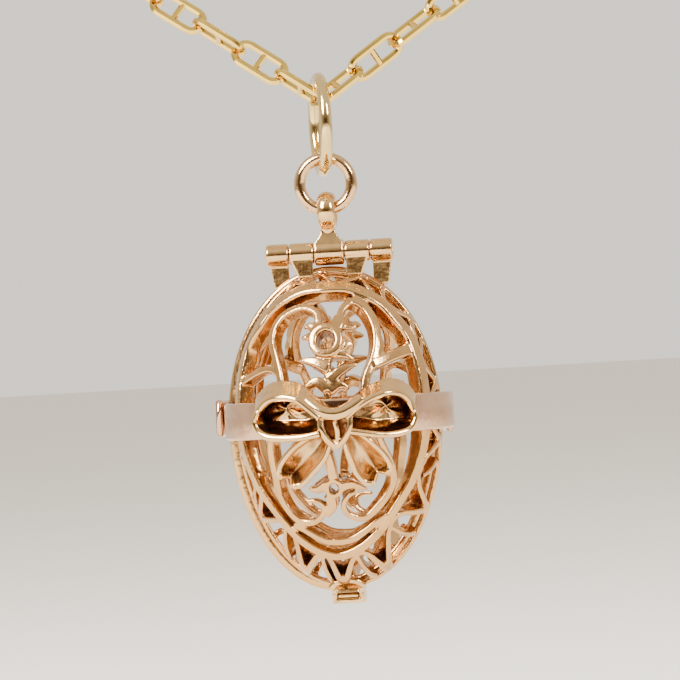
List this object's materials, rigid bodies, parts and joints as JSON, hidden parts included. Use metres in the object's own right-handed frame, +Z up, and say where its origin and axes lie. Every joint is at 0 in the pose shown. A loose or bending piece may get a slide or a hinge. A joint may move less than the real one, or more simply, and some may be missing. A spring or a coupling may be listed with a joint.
{
  "type": "pendant necklace",
  "caption": "hinged openwork egg locket with a girdle band and a ribbon bow, on a bail ring, jump ring and anchor chain with a bolt ring clasp",
  "frame": {"origin": "centre of the bolt ring clasp, where the chain rests on the back of the neck", "axes": "+Z up, as worn; the locket hangs at the front and its bow faces -Y; +X is the wearer's left, which is the right side seen from the front"},
  "size_m": [0.1252, 0.1099, 0.1563],
  "materials": {
    "rose_gold_band": "polished plain rose gold, fine wear scratches",
    "rose_gold_casting": "cast rose gold, polished on top, darker in the recesses",
    "rose_gold_bow": "cast and polished rose gold",
    "rose_gold_hinge": "rose gold tube, lightly polished",
    "rose_gold_wire": "polished rose gold wire",
    "pale_gold_wire": "polished pale gold wire",
    "yellow_gold": "polished yellow gold with flat cut facets",
    "spring_steel": "bright drawn spring wire"
  },
  "bodies": {
    "chain": {"chain_link_left_1": "yellow_gold", "chain_link_left_2": "yellow_gold", "chain_link_left_3": "yellow_gold", "chain_link_left_4": "yellow_gold", "chain_link_right_1": "yellow_gold", "chain_link_right_2": "yellow_gold", "chain_link_right_3": "yellow_gold", "chain_link_right_4": "yellow_gold", "chain_run_left": "yellow_gold", "chain_run_right": "yellow_gold", "clasp_ring": "yellow_gold", "clasp_loop": "yellow_gold", "clasp_spring": "spring_steel", "end_ring_left": "yellow_gold", "end_ring_right": "yellow_gold"},
    "bail_ring": {"bail_ring": "pale_gold_wire"},
    "jump_ring": {"jump_ring": "rose_gold_wire"},
    "hanger": {"hanger_collar": "rose_gold_hinge", "hanger_eye": "rose_gold_wire"},
    "back_half": {"back_lattice_border": "rose_gold_casting", "back_scroll_panel": "rose_gold_casting", "back_girdle_band": "rose_gold_band", "back_knuckle_left": "rose_gold_casting", "back_knuckle_right": "rose_gold_casting", "back_catch_tongue": "rose_gold_casting", "hinge_pin": "rose_gold_hinge"},
    "front_half": {"front_lattice_border": "rose_gold_casting", "front_scroll_panel": "rose_gold_casting", "front_girdle_band": "rose_gold_band", "front_knuckle_left": "rose_gold_casting", "front_knuckle_right": "rose_gold_casting", "front_catch_sleeve": "rose_gold_casting", "bow_knot": "rose_gold_bow", "bow_loop_left": "rose_gold_bow", "bow_loop_right": "rose_gold_bow", "bow_tail_left": "rose_gold_bow", "bow_tail_right": "rose_gold_bow"},
    "clasp_bolt": {"clasp_bolt": "yellow_gold"}
  },
  "joints": [
    {"name": "bail_swing", "type": "hinge", "parent": "chain", "child": "bail_ring", "pos_m": [0, -0.10005, -0.11995], "axis": [1, 0, 0], "range_deg": [-15, 15]},
    {"name": "jump_ring_swing", "type": "hinge", "parent": "bail_ring", "child": "jump_ring", "pos_m": [0, -0.1, -0.1249], "axis": [0, 1, 0], "range_deg": [-20, 20]},
    {"name": "hanger_swing", "type": "hinge", "parent": "jump_ring", "child": "hanger", "pos_m": [0, -0.1, -0.12734], "axis": [1, 0, 0], "range_deg": [-15, 15]},
    {"name": "locket_swing", "type": "hinge", "parent": "hanger", "child": "back_half", "pos_m": [0, -0.1, -0.13], "axis": [1, 0, 0], "range_deg": [-10, 10]},
    {"name": "front_opening", "type": "hinge", "parent": "back_half", "child": "front_half", "pos_m": [0, -0.1, -0.13], "axis": [-1, 0, 0], "range_deg": [0, 90]},
    {"name": "clasp_bolt_draw", "type": "hinge", "parent": "chain", "child": "clasp_bolt", "pos_m": [0, 0, 0], "axis": [0, 1, 0], "range_deg": [0, 46], "stiffness_Nm_per_rad": 0.0005, "springref_deg": -17.19, "deforming": ["clasp_spring"]}
  ]
}
